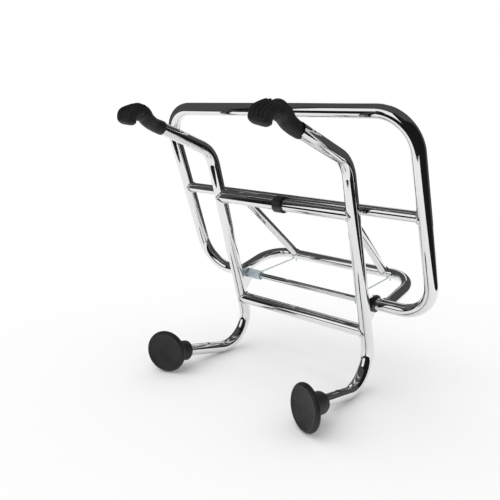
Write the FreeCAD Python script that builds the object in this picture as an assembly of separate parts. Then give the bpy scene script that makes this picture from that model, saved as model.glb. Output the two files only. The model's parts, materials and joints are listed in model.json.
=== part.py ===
import FreeCAD, Part
import math
import os

V = FreeCAD.Vector

# Front luggage rack for a scooter, standing on its foot pads and lower bends.
# X runs across, +Y forward (away from the legshield), +Z up. Millimetres.
# Places in the side view are written (v, u): u up along the leaning uprights, v forward of them.

# Tube stock
TUBE_OD = 16.0
TUBE_WALL = 1.5
BOW_OD = 14.0
SHELF_BAR_OD = 13.0
STRUT_OD = 11.0
LOOP_WALL = 1.2
LIGHT_WALL = 0.9
TUBE_R = TUBE_OD / 2
BOW_R = BOW_OD / 2
SHELF_BAR_R = SHELF_BAR_OD / 2

# Fixed frame: two bent uprights and two crossbars
LEAN = math.radians(15.5)
UPRIGHT_X_LOW = 105.0
UPRIGHT_X_TOP = 107.0
UPRIGHT_RUN = 308.0
LOWER_BAR_DROP = 29.0
TOP_BEND_R = 39.0
FOOT_BEND_R = 42.0

# Upper arm and hook: a solid bar let into the tube makes the hook, and a flat tongue fills the claw
ARM_RISE = math.radians(37.0)
ARM_FLARE = math.radians(2.5)
NECK_RISE = math.radians(55.0)
NECK_BEND_R = 30.0
HOOK_R = 13.5
HOOK_V = -105.0
HOOK_RISE = 73.0
TUBE_END = math.radians(80)
TUBE_STUB = 1.0
SOLID_RUN = 55.0
TONGUE_THICK = 4.0
TONGUE_FROM = math.radians(68)
TONGUE_TO = math.radians(160)
TONGUE_WIDTH = 13.0
TONGUE_INWARD = 4.0

# Rubber hook cover
COVER_WALL = 2.2
COVER_START = 84.0
COVER_CAP = 3.0
CLAW_PROUD = 0.3
CLAW_WIDTH = 26.0
CLAW_INWARD = 8.5
CLAW_THICK = 13.0
CLAW_ROUND = 3.5
CLAW_FROM = math.radians(62)
CLAW_TO = math.radians(174)
RIB_COUNT = 5
RIB_GROOVE = 1.0

# Foot and rubber pad
FOOT_RISE = math.radians(11.8)
FOOT_TOE_OUT = math.radians(3.6)
FOOT_HOLE_R = 3.25
FOOT_HOLE_AT = 92.5
PAD_R = 28.0
PAD_DISH = 2.5
PAD_LIP = 5.0
PAD_LIP_DROP = 0.6
PAD_EDGE_ROUND = 1.2
PAD_RIM = 4.0
PAD_RIM_BACK = 7.0
PAD_RIM_TAPER = 1.6
PAD_BACK = 9.0
PAD_TOE_IN = math.radians(20.0)
PAD_TILT_UP = math.radians(3.0)
PAD_NECK_WALL = 5.5
PAD_NECK_LENGTH = 36.0
PAD_NECK_ROUND = 3.0
PAD_FLOOR = 10.0

# Hinge
ROD_R = 4.0
ROD_V = 23.0
ROD_U = 113.0
ROD_CHAMFER = 0.8
ROD_SHORT = 2.0
BRACKET_THICK = 3.0
BRACKET_BOSS = 6.5
BRACKET_RISE = 15.0
BRACKET_FALL = 27.0
FACE_GAP = 0.3
RUN_GAP = 0.05
BUSH_LIP = 3.0
BUSH_FLANGE = 2.5
BUSH_BARREL = 20.0

# Torsion spring
WIRE_R = 1.0
COIL_CLEAR = 0.75
COIL_TURNS = 10
TURN_GAP = 0.1
COIL_GAP = 0.2
LEG_GAP = 0.3
LEG_BEND_R = 2.5
LEG_LAP = 1.2
WIRE_EASE = 0.03
TAIL_FORWARD = 2.0
TAIL_DOWN = 5.5
TAIL_CLEAR = 0.2

# Folding shelf
LOOP_X = 187.0
LOOP_HEIGHT = 249.0
LOOP_LOW_R = 45.0
LOOP_TOP_R = 44.0
SHELF_BAR_AT = 131.0
REST_GAP = 1.2
BOW_SIDE = 1.8
BOW_DEPTH = 78.6
BOW_DROP = 1.6
BOW_BEND_R = 36.0
VENT_R = 1.4
VENT_AT = 17.0
STRUT_TOP_X = 85.0
STRUT_FOOT_X = 75.5

# Latch clip on the middle crossbar
CLIP_WIDTH = 14.0
CLIP_WALL = 2.6
CLIP_GAP = 0.5
CLIP_LIP = 4.0
CLIP_LIP_FLARE = 2.0


def side(v, u):
    y = v * math.cos(LEAN) - u * math.sin(LEAN)
    z = v * math.sin(LEAN) + u * math.cos(LEAN)
    return y, z


def at(x, v, u):
    y, z = side(v, u)
    return V(x, y, z)


def rod_between(a, b, radius):
    return Part.makeCylinder(radius, (b - a).Length, a, b - a)


def bar(points, radii, radius):
    # straight lengths and round bends, joined end to end
    pieces = []
    start = points[0]
    for i, bend in enumerate(radii):
        corner = points[i + 1]
        back = (points[i] - corner).normalize()
        ahead = (points[i + 2] - corner).normalize()
        half = back.getAngle(ahead) / 2
        reach = bend / math.tan(half)
        centre = corner + (back + ahead).normalize() * (bend / math.sin(half))
        first = corner + back * reach
        disc = Part.Face(Part.Wire([Part.makeCircle(radius, first, back)]))
        pieces.append(rod_between(start, first, radius))
        pieces.append(disc.revolve(centre, ahead.cross(back), 180 - math.degrees(2 * half)))
        start = corner + ahead * reach
    last = rod_between(start, points[-1], radius)
    return last.multiFuse(pieces).removeSplitter() if pieces else last


def hollow(points, radii, radius, wall):
    return bar(points, radii, radius).cut(bar(points, radii, radius - wall))


def plate(corners, x, thick):
    ring = Part.makePolygon([at(x, v, u) for v, u in corners + corners[:1]])
    return Part.Face(ring).extrude(V(thick, 0, 0))


def mirrored(shape):
    return shape.mirror(V(0, 0, 0), V(1, 0, 0))


def turned(profile, origin, axis):
    # profile: corners drawn as (radius, along axis)
    ring = Part.makePolygon([V(r, 0, z) for r, z in profile + profile[:1]])
    shape = Part.Face(ring).revolve(V(0, 0, 0), V(0, 0, 1), 360)
    shape.Placement = FreeCAD.Placement(origin, FreeCAD.Rotation(V(0, 0, 1), axis))
    return shape


def upright_x(u):
    return UPRIGHT_X_LOW + (UPRIGHT_X_TOP - UPRIGHT_X_LOW) * u / UPRIGHT_RUN


# Hook places are written as a radius and an angle about the middle of the hook
hook_u = UPRIGHT_RUN + HOOK_RISE


def hook_place(radius, angle):
    return HOOK_V + radius * math.cos(angle), hook_u + radius * math.sin(angle)


# Upright path: foot end, foot bend, top bend, neck bend, hook bend, end on the hook's crest
foot_bend = at(UPRIGHT_X_LOW, 0, 0)
top_bend = at(UPRIGHT_X_TOP, 0, UPRIGHT_RUN)
foot_way = V(
    math.sin(FOOT_TOE_OUT) * math.cos(FOOT_RISE),
    -math.cos(FOOT_TOE_OUT) * math.cos(FOOT_RISE),
    math.sin(FOOT_RISE),
)
up_way = (top_bend - foot_bend).normalize()
touch = math.pi / 2 - NECK_RISE
touch_v, touch_u = hook_place(HOOK_R, touch)
neck_run = touch_u - UPRIGHT_RUN + touch_v * math.tan(NECK_RISE)
neck_run = neck_run / (math.sin(ARM_RISE) - math.cos(ARM_RISE) * math.tan(NECK_RISE))
hook_x = UPRIGHT_X_TOP + neck_run * math.tan(ARM_FLARE)
neck_bend = at(hook_x, -neck_run * math.cos(ARM_RISE), UPRIGHT_RUN + neck_run * math.sin(ARM_RISE))
half_hook = (TUBE_END - touch) / 2
hook_bend = at(hook_x, *hook_place(HOOK_R / math.cos(half_hook), touch + half_hook))
crest = at(hook_x, *hook_place(HOOK_R, TUBE_END))
over_way = at(0, -math.sin(TUBE_END), math.cos(TUBE_END))
tube_tip = crest + over_way * TUBE_STUB

# The floor lies under the foot bend; the pad rim stands on the same floor
bend_half = foot_way.getAngle(up_way) / 2
bend_mid = (foot_way + up_way).normalize()
bend_centre = foot_bend + bend_mid * (FOOT_BEND_R / math.sin(bend_half))
bend_level = math.sqrt(1 - foot_way.cross(up_way).normalize().z ** 2)
floor_z = bend_centre.z - FOOT_BEND_R * bend_level - TUBE_R
pad_way = V(
    -math.sin(PAD_TOE_IN) * math.cos(PAD_TILT_UP),
    -math.cos(PAD_TOE_IN) * math.cos(PAD_TILT_UP),
    math.sin(PAD_TILT_UP),
)
pad_z = floor_z + PAD_R * math.cos(PAD_TILT_UP) + PAD_RIM * math.sin(PAD_TILT_UP)
foot_run = (pad_z - foot_bend.z) / math.sin(FOOT_RISE)
pad_centre = foot_bend + foot_way * foot_run
tube_foot = pad_centre - foot_way * PAD_FLOOR

upright_path = [tube_foot, foot_bend, top_bend, neck_bend, hook_bend, tube_tip]
upright_bends = [FOOT_BEND_R, TOP_BEND_R, NECK_BEND_R, HOOK_R]
tube_full = bar(upright_path, upright_bends, TUBE_R)
arm_way = (neck_bend - top_bend).normalize()
bore_end = top_bend + arm_way * (COVER_START - SOLID_RUN)
tube_bore = bar([tube_foot, foot_bend, top_bend, bore_end], upright_bends[:2], TUBE_R - TUBE_WALL)


hook_centre = at(hook_x, HOOK_V, hook_u)


def hook_strip(section, start, end):
    # section: corners drawn as (across, radius), swept round the hook
    ring = [at(hook_x + x, *hook_place(r, start)) for x, r in section + section[:1]]
    return Part.Face(Part.makePolygon(ring)).revolve(hook_centre, V(1, 0, 0), math.degrees(end - start))


cover_r = TUBE_R + COVER_WALL
claw_out = HOOK_R + cover_r + CLAW_PROUD
claw_in = claw_out - CLAW_THICK
tongue_in = (claw_in + claw_out - TONGUE_THICK) / 2
tongue_out = tongue_in + TONGUE_THICK
tongue_left = -TONGUE_INWARD - TONGUE_WIDTH / 2
tongue_right = tongue_left + TONGUE_WIDTH
tongue_section = [(tongue_left, tongue_in), (tongue_right, tongue_in)]
tongue_section += [(tongue_right, tongue_out), (tongue_left, tongue_out)]
tongue = hook_strip(tongue_section, TONGUE_FROM, TONGUE_TO)

# Fixing hole through the foot, square to the foot tube
hole_centre = foot_bend + foot_way * FOOT_HOLE_AT
hole_way = foot_way.cross(V(1, 0, 0)).normalize()
if hole_way.z < 0:
    hole_way = -hole_way
foot_hole = Part.makeCylinder(FOOT_HOLE_R, 2 * TUBE_OD, hole_centre - hole_way * TUBE_OD, hole_way)
right_upright = tube_full.cut(tube_bore).cut(foot_hole).fuse(tongue)
left_full = mirrored(tube_full)

# Crossbars, coped onto the uprights
def crossbar(u):
    x = upright_x(u)
    ends = [at(-x, 0, u), at(x, 0, u)]
    return hollow(ends, [], TUBE_R, TUBE_WALL).cut(tube_full).cut(left_full)


# The shelf's own crossbar lies level with the middle crossbar, just in front of it
shelf_bar_v = TUBE_R + REST_GAP + SHELF_BAR_R
loop_tilt = math.asin((ROD_V - shelf_bar_v) / SHELF_BAR_AT)
bar_u = ROD_U + SHELF_BAR_AT * math.cos(loop_tilt)
middle_crossbar = crossbar(bar_u)
lower_crossbar = crossbar(ROD_U - LOWER_BAR_DROP)

# Hook cover: a sleeve on the neck and a wide ribbed claw round the hook
cover_foot = top_bend + arm_way * COVER_START
cover_tip = tube_tip + over_way * COVER_CAP
sleeve = bar([cover_foot, neck_bend, hook_bend, cover_tip], [NECK_BEND_R, HOOK_R], cover_r)
rib_pitch = CLAW_WIDTH / RIB_COUNT
claw_edge = claw_out - CLAW_ROUND
claw_left = -CLAW_INWARD - CLAW_WIDTH / 2
claw_right = claw_left + CLAW_WIDTH
claw_section = [(claw_left, claw_edge), (claw_left, claw_in)]
claw_section += [(claw_right, claw_in), (claw_right, claw_edge), (claw_right - CLAW_ROUND, claw_out)]
for i in range(RIB_COUNT - 1):
    x = claw_right - (i + 1) * rib_pitch
    claw_section += [(x + RIB_GROOVE, claw_out), (x, claw_out - RIB_GROOVE), (x - RIB_GROOVE, claw_out)]
claw_section.append((claw_left + CLAW_ROUND, claw_out))
cover = sleeve.fuse(hook_strip(claw_section, CLAW_FROM, CLAW_TO))
right_hook_cover = cover.cut(tube_full).cut(tongue).removeSplitter()

# Foot pad: a dished disc set at an angle on a neck that slips over the tube
pad_neck_r = TUBE_R + PAD_NECK_WALL
lip_r = PAD_R - PAD_LIP
edge_r = PAD_R - PAD_EDGE_ROUND
back_r = PAD_R - PAD_RIM_TAPER
disc = turned(
    [
        (0, -PAD_DISH),
        (lip_r, -PAD_LIP_DROP),
        ((lip_r + edge_r) / 2, 0),
        (edge_r, -PAD_EDGE_ROUND),
        (PAD_R, -PAD_RIM),
        (back_r, -PAD_RIM_BACK),
        (pad_neck_r, -PAD_BACK),
        (0, -PAD_BACK),
    ],
    pad_centre,
    pad_way,
)
neck_start = pad_centre - foot_way * PAD_NECK_LENGTH
pad_neck = rod_between(neck_start, pad_centre + foot_way * PAD_BACK, pad_neck_r)
end_rim = [e for e in pad_neck.Edges if (e.CenterOfMass - neck_start).Length < PAD_NECK_ROUND]
pad_neck = pad_neck.makeChamfer(PAD_NECK_ROUND, end_rim)
inside_disc = (PAD_DISH + PAD_BACK) / 2
face_side = Part.makeCylinder(2 * PAD_R, PAD_R, pad_centre - pad_way * inside_disc, pad_way)
right_foot_pad = disc.fuse(pad_neck.cut(face_side)).cut(tube_full).removeSplitter()

# Hinge brackets: tapered plates welded to the fronts of the uprights, carrying the pivot rod
rod_centre = at(0, ROD_V, ROD_U)
bracket_x = upright_x(ROD_U) - BRACKET_THICK / 2
boss_r = ROD_R + BRACKET_BOSS
boss = Part.makeCylinder(boss_r, BRACKET_THICK, at(bracket_x, ROD_V, ROD_U), V(1, 0, 0))
web_foot = math.hypot(ROD_V, BRACKET_FALL)
web_turn = math.atan2(-BRACKET_FALL, -ROD_V) + math.acos(boss_r / web_foot)
web = plate(
    [
        (0, ROD_U + BRACKET_RISE),
        (ROD_V, ROD_U + boss_r),
        (ROD_V + boss_r * math.cos(web_turn), ROD_U + boss_r * math.sin(web_turn)),
        (0, ROD_U - BRACKET_FALL),
    ],
    bracket_x,
    BRACKET_THICK,
)
coil_mean = ROD_R + COIL_CLEAR + WIRE_R
tail_v = ROD_V - coil_mean
rod_hole = Part.makeCylinder(ROD_R, 2 * LOOP_X, rod_centre, V(1, 0, 0))
tail_hole = Part.makeCylinder(WIRE_R + TAIL_CLEAR, LOOP_X, at(0, tail_v, ROD_U), V(1, 0, 0))
right_hinge_bracket = boss.fuse(web).cut(rod_hole).cut(tail_hole).cut(tube_full).removeSplitter()

# Pivot rod and the plastic bushes that turn on it
flange_x = bracket_x + BRACKET_THICK + FACE_GAP
stub_x = flange_x + BUSH_FLANGE
rod_end = stub_x + BUSH_BARREL - ROD_SHORT
pivot_rod = Part.makeCylinder(ROD_R, 2 * rod_end, rod_centre - V(rod_end, 0, 0), V(1, 0, 0))
end_rings = [e for e in pivot_rod.Edges if abs(e.CenterOfMass.x) > rod_end - ROD_CHAMFER]
pivot_rod = pivot_rod.makeChamfer(ROD_CHAMFER, end_rings)
hinge_point = rod_centre + V(flange_x, 0, 0)
flange = Part.makeCylinder(TUBE_R + BUSH_LIP, BUSH_FLANGE, hinge_point, V(1, 0, 0))
barrel = Part.makeCylinder(TUBE_R - LOOP_WALL, BUSH_FLANGE + BUSH_BARREL, hinge_point, V(1, 0, 0))
bush_bore = Part.makeCylinder(ROD_R + RUN_GAP, 2 * LOOP_X, rod_centre, V(1, 0, 0))
right_hinge_bush = flange.fuse(barrel).cut(bush_bore).removeSplitter()

# Folding shelf: an open loop hung on the rod
def on_loop(x, height):
    return at(x, ROD_V - height * math.sin(loop_tilt), ROD_U + height * math.cos(loop_tilt))


loop_path = [
    on_loop(stub_x, 0),
    on_loop(LOOP_X, 0),
    on_loop(LOOP_X, LOOP_HEIGHT),
    on_loop(-LOOP_X, LOOP_HEIGHT),
    on_loop(-LOOP_X, 0),
    on_loop(-stub_x, 0),
]
loop_bends = [LOOP_LOW_R, LOOP_TOP_R, LOOP_TOP_R, LOOP_LOW_R]
loop_full = bar(loop_path, loop_bends, TUBE_R)
shelf_loop = loop_full.cut(bar(loop_path, loop_bends, TUBE_R - LOOP_WALL))
bar_ends = [on_loop(-LOOP_X, SHELF_BAR_AT), on_loop(LOOP_X, SHELF_BAR_AT)]
shelf_bar_full = bar(bar_ends, [], SHELF_BAR_R)
shelf_crossbar = hollow(bar_ends, [], SHELF_BAR_R, LIGHT_WALL).cut(loop_full)


# Support bow: it lies forward at rest and swings down against the uprights as a stop
def on_bow(x, depth):
    return at(x, ROD_V + depth, ROD_U - BOW_DROP * depth / BOW_DEPTH)


bow_x = upright_x(ROD_U) + TUBE_R + BOW_SIDE + BOW_R
bow_path = [on_bow(bow_x, 0), on_bow(bow_x, BOW_DEPTH), on_bow(-bow_x, BOW_DEPTH), on_bow(-bow_x, 0)]
bow_bends = [BOW_BEND_R, BOW_BEND_R]
bow_full = bar(bow_path, bow_bends, BOW_R)
vent = Part.makeCylinder(VENT_R, 2 * bow_x, on_bow(-bow_x, VENT_AT), V(1, 0, 0))
support_bow = bow_full.cut(bar(bow_path, bow_bends, BOW_R - LIGHT_WALL)).cut(loop_full).cut(vent)

strut_top = on_loop(STRUT_TOP_X, SHELF_BAR_AT)
strut_foot = on_bow(STRUT_FOOT_X, BOW_DEPTH)
strut = hollow([strut_top, strut_foot], [], STRUT_OD / 2, LIGHT_WALL)
right_strut = strut.cut(shelf_bar_full).cut(bow_full)

# Torsion spring: close-wound coil as one ridged sleeve, tail in the bracket, leg hooked under the bow
under_v = ROD_V + BOW_DEPTH
under_u = ROD_U - BOW_DROP - BOW_R - LEG_GAP - WIRE_R
leg_slope = math.atan2(under_u - ROD_U, BOW_DEPTH)
leg_turn = math.asin(coil_mean / math.hypot(BOW_DEPTH, under_u - ROD_U))
leave = leg_slope + math.pi / 2 - leg_turn
turns = COIL_TURNS + (math.pi - leave) / (2 * math.pi)
coil_pitch = 2 * WIRE_R + TURN_GAP
coil_run = turns * coil_pitch
coil_out = bracket_x - COIL_GAP - WIRE_R
coil_in = coil_out - coil_run
ridges = round(turns)
ridge_pitch = (coil_run + 2 * WIRE_R) / ridges
coil_low = coil_in - WIRE_R
coil_profile = [(coil_mean - WIRE_R, 0), (coil_mean - WIRE_R, ridges * ridge_pitch)]
for i in range(ridges):
    left = (ridges - i) * ridge_pitch
    coil_profile += [(coil_mean + WIRE_R / 2, left), (coil_mean + WIRE_R, left - ridge_pitch / 2)]
coil_profile.append((coil_mean + WIRE_R / 2, 0))
coil = turned(coil_profile, rod_centre + V(coil_low, 0, 0), V(1, 0, 0))
outward = at(0, math.cos(leave), math.sin(leave))
leg_end = at(coil_in, under_v, under_u)
leg_start = rod_centre + V(coil_in, 0, 0) + outward * coil_mean
leg_start = leg_start - (leg_end - leg_start).normalize() * LEG_LAP
leg_tip = leg_end + at(0, TAIL_FORWARD, -TAIL_DOWN)
leg = bar([leg_start, leg_end, leg_tip], [LEG_BEND_R], WIRE_R - WIRE_EASE)
tail_start = at(coil_out - WIRE_R / 2, tail_v, ROD_U)
tail_end = at(bracket_x + BRACKET_THICK, tail_v, ROD_U)
tail = rod_between(tail_start, tail_end, WIRE_R - WIRE_EASE)
right_torsion_spring = coil.fuse(leg).fuse(tail)

# Latch clip: snug round the back of the middle crossbar, open-fronted jaw for the shelf crossbar
jaw_r = SHELF_BAR_R + CLIP_GAP
cheek = jaw_r + CLIP_WALL
clip_r = TUBE_R + CLIP_WALL
lip_v = shelf_bar_v + CLIP_LIP
clip_back = [(0, clip_r), (-clip_r, 0), (0, -clip_r)]
clip_low = [
    (0, -clip_r),
    (shelf_bar_v, -cheek),
    (lip_v, -cheek - CLIP_LIP_FLARE),
    (lip_v, -jaw_r - CLIP_LIP_FLARE),
    (shelf_bar_v, -jaw_r),
]
clip_jaw = [(shelf_bar_v, -jaw_r), (shelf_bar_v - jaw_r, 0), (shelf_bar_v, jaw_r)]
clip_high = [(shelf_bar_v, jaw_r), (shelf_bar_v, cheek), (0, clip_r)]


def on_clip(places):
    return [at(-CLIP_WIDTH / 2, v, bar_u + u) for v, u in places]


clip_edges = [Part.Arc(*on_clip(clip_back)).toShape(), Part.Arc(*on_clip(clip_jaw)).toShape()]
clip_edges += Part.makePolygon(on_clip(clip_low)).Edges + Part.makePolygon(on_clip(clip_high)).Edges
clip_ring = Part.Wire(Part.__sortEdges__(clip_edges))
clip_full = Part.Face(clip_ring).extrude(V(CLIP_WIDTH, 0, 0))
latch_clip = clip_full.cut(rod_between(at(-bow_x, 0, bar_u), at(bow_x, 0, bar_u), TUBE_R))

nodes = {
    "right_upright": right_upright,
    "middle_crossbar": middle_crossbar,
    "lower_crossbar": lower_crossbar,
    "right_hook_cover": right_hook_cover,
    "right_foot_pad": right_foot_pad,
    "right_hinge_bracket": right_hinge_bracket,
    "pivot_rod": pivot_rod,
    "right_torsion_spring": right_torsion_spring,
    "latch_clip": latch_clip,
    "right_hinge_bush": right_hinge_bush,
    "shelf_loop": shelf_loop,
    "shelf_crossbar": shelf_crossbar,
    "support_bow": support_bow,
    "right_strut": right_strut,
}
for name in list(nodes):
    if name.startswith("right_"):
        nodes[name.replace("right_", "left_")] = mirrored(nodes[name])

# The part's own frame: floor at z = 0, centred across the floor it covers
front_y = on_bow(0, BOW_DEPTH).y + BOW_R
rear_y = hook_centre.y - claw_out
shift = V(0, -(front_y + rear_y) / 2, -floor_z)

os.makedirs("parts", exist_ok=True)
for name, shape in nodes.items():
    shape.translate(shift)
    shape.exportStep("parts/" + name + ".step")
    box = shape.BoundBox
    print(name, len(shape.Solids), shape.isValid(), round(shape.Volume))
    print("   spans", round(box.XLength, 1), round(box.YLength, 1), round(box.ZLength, 1))

print("rod axis", rod_centre + shift)
print("right foot hole", hole_centre + shift, hole_way)
print("right pad", pad_centre + shift, pad_way)
print("right hook", hook_centre + shift)
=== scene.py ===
# %% [markdown]
# # A scooter front luggage rack
# The part is a rack of chromed tube. Two bent uprights and two crossbars make the fixed frame, which
# hangs on the legshield by rubber hooks. A loop of tube folds down from it as a shelf, on a sprung
# hinge. The CAD solids come in as a fixed frame, and each cell below dresses one kind of piece.

# %% Load the frame
import json
import math

import bmesh
import bpy
from mathutils import Matrix, Vector


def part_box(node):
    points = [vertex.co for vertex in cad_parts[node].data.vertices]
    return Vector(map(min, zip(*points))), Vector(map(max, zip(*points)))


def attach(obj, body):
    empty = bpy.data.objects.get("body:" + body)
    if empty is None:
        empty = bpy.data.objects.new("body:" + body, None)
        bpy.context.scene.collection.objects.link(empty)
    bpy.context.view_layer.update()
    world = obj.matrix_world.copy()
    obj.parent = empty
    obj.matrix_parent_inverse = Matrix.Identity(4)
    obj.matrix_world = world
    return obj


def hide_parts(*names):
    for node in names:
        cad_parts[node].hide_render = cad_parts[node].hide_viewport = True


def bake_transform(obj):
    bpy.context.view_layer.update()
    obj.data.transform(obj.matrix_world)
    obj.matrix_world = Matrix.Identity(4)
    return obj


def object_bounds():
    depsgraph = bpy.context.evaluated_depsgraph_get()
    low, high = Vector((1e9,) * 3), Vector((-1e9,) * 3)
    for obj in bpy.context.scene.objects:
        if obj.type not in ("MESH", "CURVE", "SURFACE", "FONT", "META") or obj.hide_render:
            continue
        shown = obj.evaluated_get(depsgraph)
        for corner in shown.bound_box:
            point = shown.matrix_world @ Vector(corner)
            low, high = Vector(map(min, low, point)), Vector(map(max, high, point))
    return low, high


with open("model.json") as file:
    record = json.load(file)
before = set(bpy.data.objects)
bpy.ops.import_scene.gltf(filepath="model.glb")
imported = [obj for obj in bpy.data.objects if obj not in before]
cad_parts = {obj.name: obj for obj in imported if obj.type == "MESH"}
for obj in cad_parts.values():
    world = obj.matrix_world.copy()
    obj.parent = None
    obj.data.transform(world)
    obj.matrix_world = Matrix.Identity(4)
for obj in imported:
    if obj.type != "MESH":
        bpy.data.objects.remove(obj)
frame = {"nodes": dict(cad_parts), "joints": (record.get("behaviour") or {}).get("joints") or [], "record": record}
cad_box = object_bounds()
nodes = frame["nodes"]
mounts = {m["name"]: m for m in frame["record"]["mounts"]}
MM = 0.001
print("CAD box", [tuple(round(q, 4) for q in corner) for corner in cad_box])

# %% [markdown]
# ## Places on the leaning rack
# The uprights lean back, so a place is easiest to give as x across, v forward of the uprights and u up
# along them. The hinge joint is known to both the frame and these places, so it is the anchor.

# %% Places
LEAN = math.radians(15.5)
ROD_V = 23 * MM
ROD_U = 113 * MM
hinge = Vector(frame["joints"][0]["pos_m"])
lean = Matrix.Rotation(LEAN, 3, "X")


def place(x, v, u):
    return hinge + lean @ Vector((x, v - ROD_V, u - ROD_U))


print("foot bends lie at height", round(place(0, 0, 0).z, 4))

# %% [markdown]
# ## Node helpers
# Materials and shapes below are node trees built in code. One helper adds a node, sets its options and
# either links a socket or sets a plain value, so that a tree reads from top to bottom.


# %% Node helper
def add(tree, kind, inputs=None, **options):
    made = tree.nodes.new(kind)
    for key, value in options.items():
        setattr(made, key, value)
    for key, value in (inputs or {}).items():
        if isinstance(value, bpy.types.NodeSocket):
            tree.links.new(value, made.inputs[key])
        else:
            made.inputs[key].default_value = value
    return made


# %% [markdown]
# ## Shared surface effects
# Moulded rubber, plastic and plated wire all have a fine grain, and all surfaces vary a little from
# place to place. Both are noise on Object coordinates, so they sit still on the piece. They are node
# groups, built once, and each material gives its own scales.


# %% Grain and mottle groups
def effect_group(name, output):
    group = bpy.data.node_groups.new(name, "ShaderNodeTree")
    for label in ("Scale", "Low", "High"):
        group.interface.new_socket(label, in_out="INPUT", socket_type="NodeSocketFloat")
    group.interface.new_socket(output, in_out="OUTPUT", socket_type="NodeSocketFloat")
    return group


def noise_effect(name, output, detail, roughness):
    group = effect_group(name, output)
    values = group.nodes.new("NodeGroupInput").outputs
    where = add(group, "ShaderNodeTexCoord").outputs["Object"]
    noise = add(
        group,
        "ShaderNodeTexNoise",
        {"Vector": where, "Scale": values["Scale"], "Detail": detail, "Roughness": roughness},
    )
    spread = add(
        group,
        "ShaderNodeMapRange",
        {"Value": noise.outputs["Fac"], "From Min": 0.3, "From Max": 0.7},
    )
    group.links.new(values["Low"], spread.inputs["To Min"])
    group.links.new(values["High"], spread.inputs["To Max"])
    add(group, "NodeGroupOutput", {output: spread.outputs["Result"]})
    return group


grain = noise_effect("Fine grain", "Height", 3.0, 0.6)
mottle = noise_effect("Soft mottle", "Amount", 4.0, 0.5)


def effect(tree, group, scale, low, high):
    made = tree.nodes.new("ShaderNodeGroup")
    made.node_tree = group
    made.inputs["Scale"].default_value = scale
    made.inputs["Low"].default_value = low
    made.inputs["High"].default_value = high
    return made.outputs[0]


def finish_of(name):
    material = bpy.data.materials.new(name)
    material.use_nodes = True
    return material, material.node_tree, material.node_tree.nodes["Principled BSDF"]


def bump(tree, shader, height, strength, distance):
    made = add(tree, "ShaderNodeBump", {"Height": height, "Strength": strength, "Distance": distance})
    tree.links.new(made.outputs["Normal"], shader.inputs["Normal"])


def between(tree, amount, first, second):
    mix = add(tree, "ShaderNodeMix", data_type="RGBA")
    mix.inputs[6].default_value = (*first, 1)
    mix.inputs[7].default_value = (*second, 1)
    tree.links.new(amount, mix.inputs[0])
    return mix.outputs[2]


print("effects", grain.name, "and", mottle.name)

# %% [markdown]
# ## Finishes
# Every finish on the rack is made of the same things: a colour that drifts between two tones, a roughness
# that drifts between two values, more or less metal, and a fine relief. Each drift has its own scale.


# %% Surface helper
def surface(name, tones, rough, metallic=0.0, relief=None):
    material, tree, shader = finish_of(name)
    tone_scale, first, second = tones
    tone = effect(tree, mottle, tone_scale, 0.0, 1.0)
    tree.links.new(between(tree, tone, first, second), shader.inputs["Base Color"])
    tree.links.new(effect(tree, mottle, *rough), shader.inputs["Roughness"])
    shader.inputs["Metallic"].default_value = metallic
    if relief:
        relief_scale, strength, distance = relief
        bump(tree, shader, effect(tree, grain, relief_scale, 0.0, 1.0), strength, distance)
    print("finish", name)
    return material


# %% [markdown]
# ## Chrome
# Bright chrome on polished tube is close to a mirror. The finish is all in the reflections, so the
# colour is a plain pale metal with a little variation, the roughness is low with faint hazy patches
# from handling, and a very shallow waviness keeps long reflections from looking drawn with a ruler.
# Welds are plated too, but rougher, and the wall of a drilled hole is lined with painted shade, a near-black that
# stands for the dark hollow inside the real tube.

# %% Chrome
chrome = surface(
    "chrome",
    tones=(9.0, (0.78, 0.785, 0.79), (0.84, 0.84, 0.835)),
    rough=(26.0, 0.025, 0.075),
    metallic=1.0,
    relief=(95.0, 0.012, 0.4 * MM),
)
weld_metal = surface(
    "chromed_weld",
    tones=(400.0, (0.72, 0.72, 0.72), (0.86, 0.86, 0.85)),
    rough=(600.0, 0.08, 0.22),
    metallic=1.0,
    relief=(900.0, 0.15, 0.2 * MM),
)
# hole lining: painted shade, a near-black that stands for the dark hollow inside the real tube
bore_painted_shade = surface(
    "painted_shade_bore",
    tones=(300.0, (0.02, 0.02, 0.02), (0.06, 0.055, 0.05)),
    rough=(500.0, 0.5, 0.8),
    metallic=0.6,
)

# %% [markdown]
# ## Zinc, rubber and plastic
# The spring wire is zinc plated: a pale bluish coat, softer than chrome. The hook covers and foot pads are
# moulded black rubber, dull with a faint sheen and a fine grain. The clip and the bushes are black
# plastic, smoother than the rubber.

# %% Zinc, rubber and plastic
zinc = surface(
    "zinc_plate",
    tones=(240.0, (0.68, 0.81, 0.86), (0.82, 0.90, 0.92)),
    rough=(380.0, 0.28, 0.42),
    metallic=0.4,
    relief=(1500.0, 0.06, 0.1 * MM),
)
rubber = surface(
    "moulded_rubber",
    tones=(70.0, (0.010, 0.010, 0.010), (0.020, 0.020, 0.019)),
    rough=(150.0, 0.48, 0.62),
    relief=(1300.0, 0.16, 0.25 * MM),
)
rubber_shader = rubber.node_tree.nodes["Principled BSDF"]
rubber_shader.inputs["Specular IOR Level"].default_value = 0.36
rubber_shader.inputs["Sheen Weight"].default_value = 0.02
plastic = surface(
    "black_plastic",
    tones=(120.0, (0.010, 0.010, 0.011), (0.018, 0.018, 0.018)),
    rough=(300.0, 0.3, 0.45),
    relief=(2200.0, 0.08, 0.15 * MM),
)

# %% [markdown]
# ## Bent tube
# Every tube on the rack is a straight length with a few bends of known radius. A pipe bender is told the
# corner points and the radius at each, so the same is given here: a chain of corners with a bend
# attribute. Geometry Nodes fillets the chain and sweeps a circle along it, which gives clean rings of
# faces, and so clean reflections, where a meshed solid would show its facets.


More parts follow.
